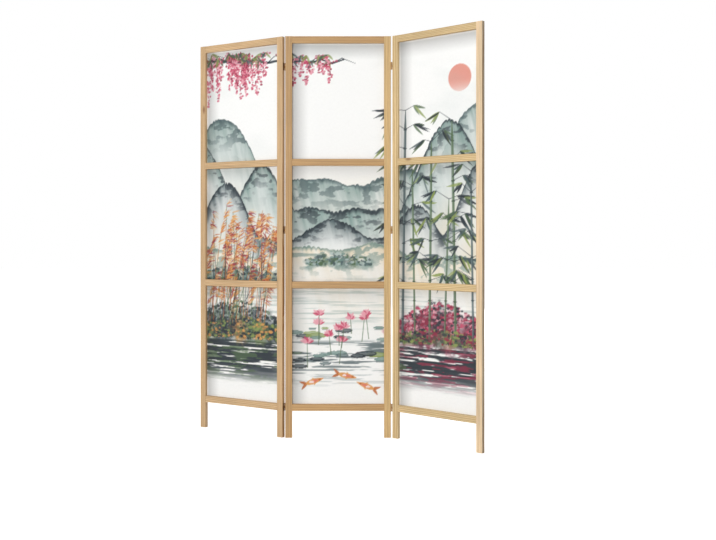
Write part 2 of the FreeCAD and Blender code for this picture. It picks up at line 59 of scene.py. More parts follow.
# Boards differ in tone, partly their own and partly painted light: the centre panel, which faces
# less towards the key lamp, is painted darkest as painted shade, and two stiles are painted paler
# than their panel as painted light
TONES = {"left": (0.97, 0.95, 1.01), "centre": (0.77, 0.67, 0.55), "right": (1.02, 1.09, 1.12)}
BOARDS_WITH_PAINTED_LIGHT = {
    ("centre", "right_stile"): (1.01, 1.00, 0.89),
    ("right", "right_stile"): (1.23, 1.35, 1.70),
}
# Distance in metres between the rings of a wave texture whose scale is 1
WAVE_LENGTH = 0.31416
# What most of a noise texture lies between
NOISE = {"From Min": 0.3, "From Max": 0.7}
# Half the width in millimetres over which the edge of a brush stroke fades
BRUSH_EDGE = 1.3


# Colours and sizes that a user would change

def srgb(text):
    """Read an sRGB hex value as three shares."""
    return np.array([int(text[i:i + 2], 16) / 255 for i in (1, 3, 5)])


def linear(shares):
    """Turn sRGB shares, or the hex value of a colour, into linear light."""
    if isinstance(shares, str):
        shares = srgb(shares)
    shares = np.asarray(shares)
    return np.where(shares <= 0.04045, shares / 12.92, ((shares + 0.055) / 1.055) ** 2.4)


def length(name, description, default):
    """Describe a length in metres."""
    return FloatProperty(name=name, description=description, default=default, unit="LENGTH",
                         precision=5)


def swatch(name, description, text):
    """Describe a colour, kept as it looks on screen."""
    return FloatVectorProperty(name=name, description=description, default=tuple(srgb(text)),
                               subtype="COLOR_GAMMA", min=0, max=1)


class ScreenSizes(bpy.types.PropertyGroup):
    """Sizes of the pieces that are modelled here."""

    panel_width: length("Panel width", "Width of one panel over its stiles", 0.450)
    stile_width: length("Stile width", "Width of a stile or rail, seen from the front", 0.029)
    stile_depth: length("Stile depth", "Thickness of a stile from front to back", 0.018)
    sheet_width: length("Sheet width", "Width of the cut sheet", 0.406)
    sheet_height: length("Sheet height", "Height of the cut sheet", 1.552)
    sheet_foot: length("Sheet foot", "Height of the sheet's lower edge", 0.136)
    sheet_depth: length("Sheet depth", "From the panel's front to the middle of the sheet", 0.0132)
    sheet_thickness: length("Sheet thickness", "Thickness of the non-woven cloth", 0.0003)
    sheet_slack: length("Sheet slack", "How far the cloth bellies between the rails", 0.0011)
    print_columns: IntProperty(name="Print columns", default=160, min=8, max=400,
                               description="Points of the print across a sheet")
    print_rows: IntProperty(name="Print rows", default=480, min=8, max=1600,
                            description="Points of the print up a sheet")
    screw_length: length("Screw length", "Length of a hinge screw under its flat head", 0.012)
    screw_diameter: length("Screw diameter", "Diameter over the thread", 0.003)
    screw_pitch: length("Screw pitch", "Distance between two turns of the thread", 0.0011)
    screw_point: length("Screw point", "Length of the point", 0.0018)
    screw_neck: length("Screw neck", "Length of the head with the plain part under it", 0.0034)
    head_diameter: length("Head diameter", "Diameter of the countersunk head", 0.0046)
    head_land: length("Head land", "Straight part at the rim of the head", 0.0002)
    head_bevel: length("Head bevel", "Bevel round the top of the head", 0.00012)
    slot_width: length("Slot width", "Width of the driver slot", 0.0007)
    slot_depth: length("Slot depth", "Depth of the driver slot", 0.0006)
    screw_inset: length("Screw inset", "From the screws to the face with the knuckles", 0.007)
    screw_spacing: length("Screw spacing", "Distance between a leaf's two screws", 0.018)
    left_leaf_stand: length("Left leaf stand", "From the stile out to the left leaves", -0.0006)
    right_leaf_stand: length("Right leaf stand", "From the stile out to the right leaves", 0.0006)


class ScreenFinishes(bpy.types.PropertyGroup):
    """Colours of the pine and of the metal."""

    early_wood: swatch("Early wood", "Pale wood between the growth rings", "#dabc8d")
    late_wood: swatch("Late wood", "Amber line that closes each growth ring", "#b98f5b")
    knot_wood: swatch("Knot", "Heart of a small knot", "#7d5230")
    brass: swatch("Brass", "Lacquered brass of the hinge leaves", "#b08d62")
    tarnish: swatch("Tarnish", "Brown bloom on the brass", "#7c5f41")
    steel: swatch("Steel", "Bright steel of the pins and brads", "#b3aea6")
    dull_steel: swatch("Dull steel", "Dull patches on the steel", "#857c72")


class ScreenInks(bpy.types.PropertyGroup):
    """Inks of the print on the sheets."""

    cloth: swatch("Cloth", "Bare white cloth", "#fafaf8")
    ink: swatch("Ink", "Near black", "#252d34")
    slate: swatch("Slate", "Dark grey green", "#46575a")
    teal: swatch("Teal", "Middle grey green", "#6d8983")
    mist: swatch("Mist", "Pale grey green", "#b3c1bd")
    sand: swatch("Sand", "Warm beige", "#e3d6bd")
    rose: swatch("Rose", "Clear red pink", "#c8506c")
    pink: swatch("Pink", "Pale pink", "#e6a2ae")
    wine: swatch("Wine", "Deep red", "#8f2c44")
    russet: swatch("Russet", "Brown orange", "#b8612f")
    amber: swatch("Amber", "Light orange", "#dd9c58")
    leaf: swatch("Leaf", "Light green", "#8a9a55")
    moss: swatch("Moss", "Dark green", "#4f6647")
    coral: swatch("Coral", "Sun red", "#dd7b68")


# Places

def panel_axes(panel):
    """Find a panel's front left foot and its turn, from its sheet in the frame."""
    sizes = bpy.context.scene.screen_sizes
    points = np.array([v.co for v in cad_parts[f"{panel}_panel_printed_sheet"].data.vertices])
    x = points[:, 0]
    ends = []
    # Half a millimetre takes in the front and the back edge at each end
    for near in (x < x.min() + 0.0005, x > x.max() - 0.0005):
        ends.append((points[near].min(axis=0) + points[near].max(axis=0)) / 2)
    turn = math.atan2(ends[1][1] - ends[0][1], ends[1][0] - ends[0][0])
    across = np.array((math.cos(turn), math.sin(turn)))
    deep = np.array((-math.sin(turn), math.cos(turn)))
    side = (sizes.panel_width - sizes.sheet_width) / 2
    foot = ends[0][:2] - across * side - deep * sizes.sheet_depth
    return (foot[0], foot[1], 0), turn


def pick(*pieces):
    """Leave nothing selected but these pieces, with the first one active."""
    if bpy.context.object and bpy.context.object.mode == "EDIT":
        bpy.ops.object.mode_set(mode="OBJECT")
    bpy.ops.object.select_all(action="DESELECT")
    for piece in pieces:
        piece.select_set(True)
        bpy.context.view_layer.objects.active = pieces[0]


def place(piece, location, rotation):
    """Stand a piece in its place and keep the place in its mesh."""
    pick(piece)
    piece.location = location
    piece.rotation_euler = rotation
    bpy.ops.object.transform_apply()


def finish_node(name, material):
    """Give a CAD node a material."""
    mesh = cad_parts[name].data
    mesh.materials.clear()
    mesh.materials.append(material)


# Materials

def feed(tree, node, inputs):
    """Set or link the inputs of a node. A node given for an input stands for its first output."""
    for name, value in inputs.items():
        if isinstance(value, bpy.types.Node):
            value = value.outputs[0]
        if isinstance(value, bpy.types.NodeSocket):
            tree.links.new(value, node.inputs[name])
        else:
            node.inputs[name].default_value = value


def add(tree, kind, inputs=None, **settings):
    """Add a shader node with its settings, and feed its inputs."""
    node = tree.nodes.new(f"ShaderNode{kind}")
    for name, value in settings.items():
        setattr(node, name, value)
    feed(tree, node, inputs or {})
    return node


def start_material(name):
    """Make a material and hand back its tree and its shader."""
    material = bpy.data.materials.new(name)
    material.use_nodes = True
    tree = material.node_tree
    return material, tree, tree.nodes["Principled BSDF"]


def rgba(shares, tone=(1, 1, 1)):
    """Turn a colour into linear light, tone it and give it an alpha."""
    return (*(linear(shares) * tone), 1)


def planed_pine(name, axes, lying, seed, tone, painted_side_shade=1.0):
    """Scots pine, planed and lacquered to a satin: amber rings, fine fibres, a few pin knots, and
    painted shade on an outer side face where asked.
    """
    width = bpy.context.scene.screen_sizes.panel_width
    finishes = bpy.context.scene.screen_finishes
    foot, turn = axes
    rng = random.Random(seed)
    material, tree, shader = start_material(name)
    # The board's own coordinates, with its length along Z
    where = add(tree, "TexCoord").outputs["Object"]
    board = add(tree, "Mapping", {"Vector": where, "Location": foot,
                                  "Rotation": (0, math.pi / 2 if lying else 0, turn)},
                vector_type="TEXTURE")
    # The grain sways by up to 8 mm over half a metre of board
    slow = add(tree, "Mapping", {"Vector": board, "Scale": (7, 7, 1.6)})
    sway = add(tree, "TexNoise", {"Vector": slow, "W": seed * 1.7, "Scale": 1, "Detail": 2},
               noise_dimensions="4D")
    # The heart of the tree stands 35 to 70 mm beside the board
    aim = rng.uniform(0.2, 1.3)
    reach = rng.uniform(0.035, 0.070)
    pith = add(tree, "Mapping", {"Vector": board,
                                 "Location": (reach * math.cos(aim), reach * math.sin(aim), 0)})
    swayed = add(tree, "VectorMath", {0: sway.outputs["Color"], 1: (0.016, 0.016, 0), 2: pith},
                 operation="MULTIPLY_ADD")
    # Rings of 2 to 3 mm, drawn 6.5 mm apart so that they show
    ring_gap = 0.0065
    rings = add(tree, "TexWave", {"Vector": swayed, "Scale": WAVE_LENGTH / ring_gap,
                                  "Distortion": 0.8, "Detail": 2, "Detail Scale": 0.5},
                wave_type="RINGS", rings_direction="Z", wave_profile="SAW")
    line = add(tree, "MapRange", {"Value": rings.outputs["Fac"], "From Min": 0.35},
               interpolation_type="SMOOTHSTEP")
    wood = add(tree, "Mix", {0: line, 6: rgba(finishes.early_wood, tone),
                             7: rgba(finishes.late_wood, tone)}, data_type="RGBA")
    # Fibres of 0.1 mm, drawn 3 mm wide and 125 mm long so that they show
    fine = add(tree, "Mapping", {"Vector": board, "Scale": (330, 330, 8)})
    fibres = add(tree, "TexNoise", {"Vector": fine, "W": seed * 0.9, "Scale": 1, "Detail": 3},
                 noise_dimensions="4D")
    streak = add(tree, "MapRange", {"Value": fibres, **NOISE, "To Min": 0.80, "To Max": 1.10})
    # Broad warm and pale patches along the board
    patches = add(tree, "TexNoise", {"Vector": slow, "W": seed * 2.3 + 5, "Scale": 2.2,
                                     "Detail": 1}, noise_dimensions="4D")
    patch = add(tree, "MapRange", {"Value": patches, **NOISE, "To Min": 0.90, "To Max": 1.05})
    # The outer side face of the last stile is painted darker than its faces: painted shade for a
    # side turned from the light
    side = add(tree, "MapRange", {"Value": add(tree, "SeparateXYZ", {"Vector": board}),
                                  "From Min": width - 0.0006, "From Max": width - 0.0002,
                                  "To Min": 1, "To Max": painted_side_shade})
    shaded = wood.outputs[2]
    for shade in (streak, patch, side):
        shaded = add(tree, "Mix", {0: 1.0, 6: shaded, 7: shade}, data_type="RGBA",
                     blend_type="MULTIPLY").outputs[2]
    # Pin knots with a heart about 7 mm across, one or two to a board
    cells = add(tree, "Mapping", {"Vector": board, "Scale": (14, 14, 6)})
    knots = add(tree, "TexVoronoi", {"Vector": cells, "W": seed * 3.1, "Scale": 1},
                voronoi_dimensions="4D")
    knot = add(tree, "MapRange", {"Value": knots, "From Min": 0.16, "From Max": 0.05,
                                  "To Max": 0.9}, interpolation_type="SMOOTHSTEP")
    colour = add(tree, "Mix", {0: knot, 6: shaded, 7: rgba(finishes.knot_wood)}, data_type="RGBA")
    gloss = add(tree, "MapRange", {"Value": fibres, "From Min": 0.2, "From Max": 0.8,
                                   "To Min": 0.46, "To Max": 0.62})
    # The hard ring lines stand up a little after planing
    relief = add(tree, "Math", {0: line, 1: 0.5, 2: fibres}, operation="MULTIPLY_ADD")
    bump = add(tree, "Bump", {"Height": relief, "Strength": 0.35, "Distance": 0.0002})
    feed(tree, shader, {"Base Color": colour.outputs[2], "Roughness": gloss, "Normal": bump,
                        "IOR": 1.5})
    return material


def tarnished_brass():
    """Stamped brass, lacquered, browned with age: cloudy tarnish and fine handling scratches."""
    finishes = bpy.context.scene.screen_finishes
    material, tree, shader = start_material("stamped brass, lacquered and tarnished")
    where = add(tree, "TexCoord").outputs["Object"]
    bloom = add(tree, "TexNoise", {"Vector": where, "Scale": 160, "Detail": 5, "Roughness": 0.62})
    share = add(tree, "MapRange", {"Value": bloom, "From Min": 0.38, "From Max": 0.68})
    colour = add(tree, "Mix", {0: share, 6: rgba(finishes.brass), 7: rgba(finishes.tarnish)},
                 data_type="RGBA")
    rough = add(tree, "MapRange", {"Value": bloom, **NOISE, "To Min": 0.36, "To Max": 0.6})
    # Scratches of 0.1 mm, drawn 0.4 mm wide so that they show
    drawn = add(tree, "Mapping", {"Vector": where, "Scale": (2500, 2500, 240),
                                  "Rotation": (0.3, 0.2, 0)})
    scratches = add(tree, "TexNoise", {"Vector": drawn, "Scale": 1, "Detail": 2})
    bump = add(tree, "Bump", {"Height": scratches, "Strength": 0.25, "Distance": 0.00005})
    feed(tree, shader, {"Base Color": colour.outputs[2], "Roughness": rough, "Normal": bump,
                        "Metallic": 0.85})
    return material


def drawn_steel(name, pitch):
    """Steel wire, drawn and left bright: thin lines along the wire and dull patches."""
    finishes = bpy.context.scene.screen_finishes
    material, tree, shader = start_material(name)
    where = add(tree, "TexCoord").outputs["Object"]
    lines = add(tree, "Mapping", {"Vector": where, "Scale": (1 / pitch, 1 / pitch, 30)})
    drawn = add(tree, "TexNoise", {"Vector": lines, "Scale": 1, "Detail": 2})
    dull = add(tree, "TexNoise", {"Vector": where, "Scale": 300, "Detail": 4})
    share = add(tree, "MapRange", {"Value": dull, "From Min": 0.45, "From Max": 0.7})
    colour = add(tree, "Mix", {0: share, 6: rgba(finishes.steel), 7: rgba(finishes.dull_steel)},
                 data_type="RGBA")
    rough = add(tree, "MapRange", {"Value": drawn, **NOISE, "To Min": 0.28, "To Max": 0.45})
    bump = add(tree, "Bump", {"Height": drawn, "Strength": 0.2, "Distance": 0.00003})
    feed(tree, shader, {"Base Color": colour.outputs[2], "Roughness": rough, "Normal": bump,
                        "Metallic": 1})
    return material


def printed_cloth():
    """Non-woven polyester, heat pressed and printed: matt, with faint fibre clouds and flecks."""
    sizes = bpy.context.scene.screen_sizes
    material, tree, shader = start_material("non-woven polyester, heat pressed and printed")
    # The print attribute holds the print together with the painted shade along the window edges
    print_and_painted_shade = add(tree, "Attribute", attribute_type="GEOMETRY", attribute_name="print")
    # The UV map runs from 0 to 1 over the cut sheet
    flat = add(tree, "Mapping", {"Vector": add(tree, "UVMap", uv_map="cut"),
                                 "Scale": (sizes.sheet_width, sizes.sheet_height, 1)})
    # Fibres lie thicker and thinner in clouds of 10 mm
    thick = add(tree, "TexNoise", {"Vector": flat, "Scale": 100, "Detail": 4, "Roughness": 0.6})
    # Single fibres are 0.02 mm thick, drawn about 1 mm thick so that they show
    threads = add(tree, "TexNoise", {"Vector": flat, "Scale": 900, "Detail": 3, "Distortion": 2.5})
    shaded = print_and_painted_shade
    for pattern, darkest in ((thick, 0.965), (threads, 0.96)):
        shade = add(tree, "MapRange", {"Value": pattern, **NOISE, "To Min": darkest})
        shaded = add(tree, "Mix", {0: 1.0, 6: shaded, 7: shade}, data_type="RGBA",
                     blend_type="MULTIPLY").outputs[2]
    bump = add(tree, "Bump", {"Height": threads, "Strength": 0.3, "Distance": 0.0002})
    feed(tree, shader, {"Base Color": shaded, "Normal": bump, "Roughness": 0.88,
                        "Sheen Weight": 0.08, "Sheen Roughness": 0.6})
    return material


# The print, a design of flowers, grasses and wooded hills by a lake, with painted shade along the
# window edges, in millimetres over all sheets

def ramp(low, high, value):
    """Rise smoothly from 0 at low to 1 at high."""
    share = np.clip((value - low) / (high - low), 0, 1)
    return share * share * (3 - 2 * share)


def mottle(across, up, pitch, seed):
    """Even out random numbers on a lattice of that pitch, across and up."""
    lattice = np.random.default_rng(seed).random((256, 256))
    x, y = across / pitch[0], up / pitch[1]
    column, row = np.floor(x).astype(int), np.floor(y).astype(int)
    s, t = ramp(0, 1, x - column), ramp(0, 1, y - row)
    here, beside = column % 256, (column + 1) % 256
    low, high = (lattice[here, level % 256] * (1 - s) + lattice[beside, level % 256] * s
                 for level in (row, row + 1))
    return low * (1 - t) + high * t


def clouds(across, up, pitch, seed):
    """Average four layers of mottling, each half as large and half as strong."""
    total = 0
    for layer in range(4):
        shrink = 2 ** layer
        size = (pitch[0] / shrink, pitch[1] / shrink)
        total = total + mottle(across, up, size, seed + layer) / shrink
    return total / (1 + 1 / 2 + 1 / 4 + 1 / 8)


def trail(start, end, sag, count):
    """List points from start to end along a curve that sags in the middle."""
    shares = [i / count for i in range(count + 1)]
    return [(start[0] + (end[0] - start[0]) * s,
             start[1] + (end[1] - start[1]) * s - 4 * sag * s * (1 - s)) for s in shares]


class Print:
    """A colour at each point of a sheet, laid on in washes and brush strokes."""

    def __init__(self, across, up):
        self.across = across
        self.up = up
        self.span = (across.min(), across.max())
        self.rgb = np.tile(self.tint("cloth"), (len(across), 1))
        self.edge = clouds(across, up, (18, 18), 90) - 0.5

    def tint(self, name):
        """Look up an ink."""
        return np.array(getattr(bpy.context.scene.screen_inks, name))

    def wander(self, pattern, pitch, seed):
        """Draw a pattern that changes only from side to side."""
        return pattern(self.across, self.across * 0, (pitch, pitch), seed)

    def near(self, place, reach):
        """Find the points within a square about a place."""
        if place[0] + reach < self.span[0] or place[0] - reach > self.span[1]:
            return np.zeros(0, int)
        beside = np.abs(self.across - place[0]) < reach
        return np.nonzero(beside & (np.abs(self.up - place[1]) < reach))[0]

    def lay(self, cover, tint, points=slice(None)):
        """Lay an ink over points, as far as it covers each."""
        cover = np.clip(cover, 0, 1)[:, None]
        self.rgb[points] = self.rgb[points] * (1 - cover) + self.tint(tint) * cover

    def leaf(self, place, reach, width, turn, tint, strength=0.9, bend=0.0):
        """Brush a pointed leaf from its stalk, turned in degrees from level."""
        points = self.near(place, reach * 1.1 + width)
        if not len(points):
            return
        x, y = self.across[points] - place[0], self.up[points] - place[1]
        c, s = math.cos(math.radians(turn)), math.sin(math.radians(turn))
        along = (x * c + y * s) / reach
        beside = y * c - x * s - bend * reach * along ** 2
        half = width / 2 * np.sin(np.pi * np.clip(along, 0, 1) ** 0.75) ** 0.8
        cover = ramp(-BRUSH_EDGE, BRUSH_EDGE, half - np.abs(beside)) * ((along > 0) & (along < 1))
        self.lay(cover * strength, tint, points)

    def blot(self, place, wide, high, tint, strength=0.9, ragged=0.5, soft=0.12):
        """Drop a rounded blot with a ragged edge."""
        points = self.near(place, max(wide, high) * (1 + ragged))
        if not len(points):
            return
        x, y = (self.across[points] - place[0]) / wide, (self.up[points] - place[1]) / high
        out = np.hypot(x, y) + self.edge[points] * ragged * 2
        self.lay(ramp(1 + soft, 1 - soft, out) * strength, tint, points)

    def line(self, start, end, widths, tint, strength=0.9):
        """Brush a straight stroke that tapers between two widths."""
        x, y = end[0] - start[0], end[1] - start[1]
        reach = math.hypot(x, y)
        middle = ((start[0] + end[0]) / 2, (start[1] + end[1]) / 2)
        points = self.near(middle, reach / 2 + max(widths))
        if not len(points):
            return
        px, py = self.across[points] - start[0], self.up[points] - start[1]
        share = np.clip((px * x + py * y) / reach ** 2, 0, 1)
        away = np.hypot(px - share * x, py - share * y)
        half = (widths[0] + (widths[1] - widths[0]) * share) / 2
        self.lay(ramp(-BRUSH_EDGE, BRUSH_EDGE, half - away) * strength, tint, points)


def wash_sky(art):
    """Leave a low sun and thin cool haze."""
    out = np.hypot(art.across - 1235, art.up - 1500)
    art.lay(ramp(57, 54, out) * ramp(1400, 1500, art.up) * 0.75, "coral")
    haze = ramp(0.45, 0.8, clouds(art.across, art.up, (300, 150), 20))
    art.lay(0.16 * haze * ramp(1000, 1500, art.up), "mist")


def wash_hills(art):
    """Wash rounded wooded hills, dark at the skyline and lost in mist below."""
    haze = clouds(art.across, art.up, (330, 110), 21)
    art.lay(ramp(640, 760, art.up) * ramp(1190, 930, art.up) * (0.3 + 0.6 * haze), "sand")
    # A ridge has its base, its domes, two inks, a strength, how far down it fades, and a seed, and
    # a dome has its middle, its height over the base, and half its width
    ridges = (
        (1075, ((110, 310, 270), (560, 30, 190), (960, 60, 180), (1330, 320, 260)),
         "teal", "slate", 0.85, 150, 1),
        (965, ((-40, 340, 250), (330, 200, 160), (1180, 360, 250)), "teal", "ink", 1.0, 120, 2),
        (845, ((130, 250, 190), (640, 80, 170), (1010, 140, 150), (1400, 380, 250)),
         "slate", "ink", 1.0, 85, 3),
        (765, ((60, 40, 200), (560, 50, 210), (830, 60, 160)), "sand", "teal", 1.0, 150, 5),
    )
    for base, domes, tint, edge, strength, fade, seed in ridges:
        crest = base + 36 * (art.wander(clouds, 110, seed) - 0.5)
        for middle, height, spread in domes:
            share = np.clip(np.abs(art.across - middle) / spread, 0, 1)
            crest = crest + height * np.cos(share * math.pi / 2) ** 1.3
        # Tree tops roughen the skyline
        tops = np.abs(np.sin(art.across / 6.5 + 4 * art.wander(mottle, 30, seed + 20)))
        depth = crest + 10 * tops * art.wander(mottle, 34, seed + 30) - art.up
        inside = ramp(-1.5, 2, depth)
        # Mist stands before the hills behind
        art.lay(inside * ramp(420, 60, depth) * 0.8, "cloth")
        strokes = clouds(art.across + 0.25 * art.up, art.up, (20, 130), seed + 10)
        wet = mottle(art.across, art.up, (170, 90), seed + 15)
        body = np.exp(-np.clip(depth, 0, None) / (fade * (0.45 + wet)))
        art.lay(inside * body * (0.35 + 0.95 * strokes) * strength, tint)
        rim = ramp(5 + 34 * art.wander(mottle, 60, seed + 35), 2, depth)
        art.lay(inside * rim * (0.45 + 0.6 * strokes), edge)
        groves = ramp(0.52, 0.62, clouds(art.across, art.up, (38, 20), seed + 40))
        art.lay(groves * ramp(2, 9, depth) * ramp(1.15 * fade, 15, depth) * 0.6, edge)


def wash_water(art):
    """Draw level streaks on the lake, darkest under the near banks."""
    streaks = clouds(art.across, art.up, (120, 7), 40)
    drift = 0.16 * (clouds(art.across, art.up, (260, 260), 44) - 0.5)
    under = ramp(420, 395, art.up) * ramp(190, 340, art.up)
    art.lay(under * ramp(0.47, 0.62, streaks + drift) * 0.8, "slate")
    deep = ramp(404, 396, art.up) * ramp(205, 300, art.up)
    deep = deep * ramp(170, 310, np.abs(art.across - 680))
    art.lay(deep * ramp(0.33, 0.42, streaks + 0.5 * drift) * 0.94, "ink")
    mirrored = ramp(0.52, 0.62, clouds(art.across, art.up, (70, 8), 47)) * 0.75
    art.lay(deep * mirrored * ramp(860, 940, art.across), "wine")
    art.lay(deep * mirrored * ramp(480, 400, art.across), "moss")
    far = ramp(720, 640, art.up) * ramp(430, 520, art.up)
    art.lay(far * 0.3 * ramp(0.52, 0.7, clouds(art.across, art.up, (190, 6), 41)), "teal")


def wash_shore(art, level, left, right, tint, strength, seed):
    """Brush a level bank whose foot is ragged."""
    top = level + 22 * (art.wander(clouds, 60, seed) - 0.5)
    span = ramp(left, left + 60, art.across) * ramp(right, right - 60, art.across)
    depth = top + 10 * span - art.up
    cover = ramp(0, 4, depth) * ramp(34, 8, depth + 26 * art.edge) * (span > 0.02)
    art.lay(cover * strength * ramp(0, 0.3, span), tint)


def dab_shrubs(art, rng, left, right, foot, height, count, *tints):
    """Dab low shrubs along a bank, over nine soft masses of the same inks."""
    def rise(share):
        """Give the height of the shrubs along the bank, lower at its ends."""
        return height * math.sin(math.pi * (0.12 + 0.76 * share))

    for mass in range(9):
        share = (mass + 0.5) / 9
        tall = rise(share) * 0.55
        art.blot((left + (right - left) * share, foot + tall * 0.6), (right - left) / 12, tall,
                 tints[mass % len(tints)], 0.5, 0.5, 0.45)
    for dab in range(count):
        share = rng.random()
        lift = rng.random() ** 1.3 * rise(share)
        art.blot((left + (right - left) * share, foot + lift), rng.uniform(4, 11),
                 rng.uniform(3, 7), rng.choice(tints), rng.uniform(0.45, 0.9), 0.6)


def brush_bamboo(art, rng):
    """Grow bamboo from the right bank into the upper windows."""
    # A stalk has its foot, its height, its width and its lean
    stalks = ((945, 1390, 13, 16), (1010, 1150, 10, -14), (1085, 1250, 12, 10), (1160, 1010, 9, 22),
              (1215, 1330, 13, -18), (1300, 1120, 10, -12))
    for foot, top, width, lean in stalks:
        joints = trail((foot, 430), (foot + lean, top), 0, int((top - 430) / 78))
        tint = rng.choice(("moss", "slate", "ink"))
        for low, high in zip(joints, joints[1:]):
            tip = high == joints[-1]
            taper = 0.3 if tip else 0.92
            art.line(low, (high[0], high[1] - 4), (width, width * taper), tint, 0.85)
            if tip:
                break
            # A pale stroke down the lit side, and a dark ring at the joint
            art.line((low[0] - width * 0.2, low[1] + 4), (high[0] - width * 0.2, high[1] - 6),
                     (width * 0.3, width * 0.2), "mist", 0.45)
            art.line((high[0] - width * 0.62, high[1] - 2), (high[0] + width * 0.62, high[1] - 2),
                     (3.5, 3.5), "ink", 0.9)
        for joint in joints[3:]:
            for side in (-1, 1):
                if rng.random() < 0.35:
                    continue
                tip = (joint[0] + side * rng.uniform(30, 75), joint[1] + rng.uniform(5, 45))
                art.line(joint, tip, (3, 1.5), "ink", 0.8)
                for leaf in range(rng.randint(3, 6)):
                    art.leaf((tip[0] + rng.uniform(-8, 8), tip[1]), rng.uniform(45, 92),
                             rng.uniform(8, 13), -90 + side * rng.uniform(15, 85),
                             rng.choice(("ink", "ink", "slate", "moss", "leaf")),
                             rng.uniform(0.6, 0.95), side * 0.08)


def brush_wisteria(art, rng):
    """Hang flower clusters from a branch along the top of the left and centre panels."""
    branch = [(x, y + rng.uniform(-8, 8)) for x, y in trail((-20, 1650), (700, 1606), 16, 15)]
    for a, b in zip(branch, branch[1:]):
        art.line(a, b, (15 - a[0] / 75, 15 - b[0] / 75), "ink", 0.92)
        art.blot(a, 10 - a[0] / 110, 8 - a[0] / 140, "ink", 0.85, 0.6)
    for a in branch[::2]:
        elbow = (a[0] + rng.uniform(15, 45), a[1] + rng.uniform(10, 28))
        tip = (elbow[0] + rng.uniform(25, 60), elbow[1] + rng.uniform(-28, 16))
        art.line(a, elbow, (5, 3), "ink", 0.85)
        art.line(elbow, tip, (3, 1.2), "ink", 0.8)
    for cluster in range(44):
        share = rng.random()
        top = (-10 + 690 * share, 1655 - 45 * share + rng.uniform(-10, 25))
        reach = rng.uniform(60, 210) * (1.1 - 0.6 * share)
        for bud in range(int(reach / 2.8)):
            down = rng.random()
            spread = 20 * (1 - down) ** 0.7 + 3
            art.blot((top[0] + rng.gauss(0, spread * 0.55), top[1] - down * reach),
                     rng.uniform(3.5, 6.5), rng.uniform(3, 5.5),
                     rng.choice(("pink", "pink", "rose", "rose", "wine")),
                     rng.uniform(0.5, 0.95), 0.35)
        for leaf in range(3):
            art.leaf(top, rng.uniform(25, 50), 9, rng.uniform(-160, -20),
                     rng.choice(("moss", "leaf", "slate")), 0.75)


def brush_reeds(art, rng):
    """Bend plumed reeds over the left bank."""
    for stem in range(52):
        foot = (rng.uniform(10, 360), rng.uniform(400, 450))
        tip = (foot[0] + rng.uniform(-40, 130), foot[1] + rng.uniform(190, 560))
        curve = trail(foot, tip, -rng.uniform(5, 22), 6)
        for a, b in zip(curve, curve[1:]):
            art.line(a, b, (3.2, 2.4), rng.choice(("russet", "ink", "moss")), 0.75)
        drift = rng.uniform(-35, 50)
        for hair in range(26):
            down = rng.random() * 95
            art.leaf((tip[0] - down * 0.25 + rng.uniform(-4, 4), tip[1] - down + 12),
                     rng.uniform(20, 46), rng.uniform(3.5, 6.5), drift + rng.uniform(-32, 32),
                     rng.choice(("amber", "amber", "russet", "sand", "wine")),
                     rng.uniform(0.45, 0.85))


def float_lotus(art, rng):
    """Float lotus leaves and flowers on the lake before the centre panel."""
    for pad in range(30):
        x, y = rng.uniform(430, 930), rng.uniform(300, 470)
        wide = rng.uniform(16, 50)
        art.blot((x, y), wide, wide * 0.26, rng.choice(("moss", "slate", "teal", "ink", "leaf")),
                 rng.uniform(0.7, 0.95), 0.22, 0.05)
        art.blot((x, y + wide * 0.05), wide * 0.7, wide * 0.14, "mist", 0.35, 0.5)
        art.line((x - wide * 0.8, y - wide * 0.34), (x + wide * 0.8, y - wide * 0.34),
                 (2.5, 1), "slate", 0.5)
    for flower in range(10):
        heart = (rng.uniform(490, 870), rng.uniform(390, 540))
        foot = (heart[0] + rng.uniform(-12, 12), heart[1] - rng.uniform(60, 110))
        art.line(foot, heart, (3, 2.4), "moss", 0.85)
        for petal in range(7):
            art.leaf(heart, rng.uniform(22, 34), 12, 18 + petal * 24,
                     rng.choice(("pink", "rose", "pink")), 0.9)


def swim_carp(art):
    """Set three carp in the lake at the foot."""
    for x, y, turn in ((560, 235, 18), (700, 265, -12), (805, 215, 158)):
        heart = np.array((x, y))
        ahead = np.array((math.cos(math.radians(turn)), math.sin(math.radians(turn))))
        tail = heart - 26 * ahead
        for side in (-1, 1):
            art.leaf(tail + 8 * ahead, 36, 12, turn + 180 + 20 * side, "russet", 0.85, 0.2 * side)
            art.leaf(heart + 22 * ahead, 22, 8, turn + 180 + 50 * side, "amber", 0.8)
        art.leaf(tail, 82, 22, turn, "amber", 0.95)
        art.leaf(heart - 8 * ahead, 46, 13, turn, "coral", 0.9)
        art.blot(heart + 2 * ahead, 9, 5, "cloth", 0.75, 0.4)
        art.blot(heart + 38 * ahead, 5, 4, "russet", 0.9, 0.3)


def shade_edges(art):
    """Paint a soft grey shadow along the left and upper edges of each window: painted shade, as the
    frame's recess casts it.
    """
    sizes = bpy.context.scene.screen_sizes
    panel = sizes.panel_width * 1000
    beside = art.across % panel - sizes.stile_width * 1000
    edges = windows()
    for low, high in edges:
        inside = (art.up > low * 1000 - 15) & (art.up < high * 1000 + 15)
        # The painted shade is fainter under the middle rails, and fainter in the frame's own cast
        # shadow
        above = 0.24 if high == edges[-1][1] else 0.14
        for gap, depth in ((beside, 0.24), (high * 1000 - art.up, above)):
            painted_shade = depth * np.clip(1 - gap / 72, 0, 1) ** 1.25 * (0.25 + 0.75 * ramp(-2, 11, gap))
            art.rgb *= (1 - inside * painted_shade)[:, None]


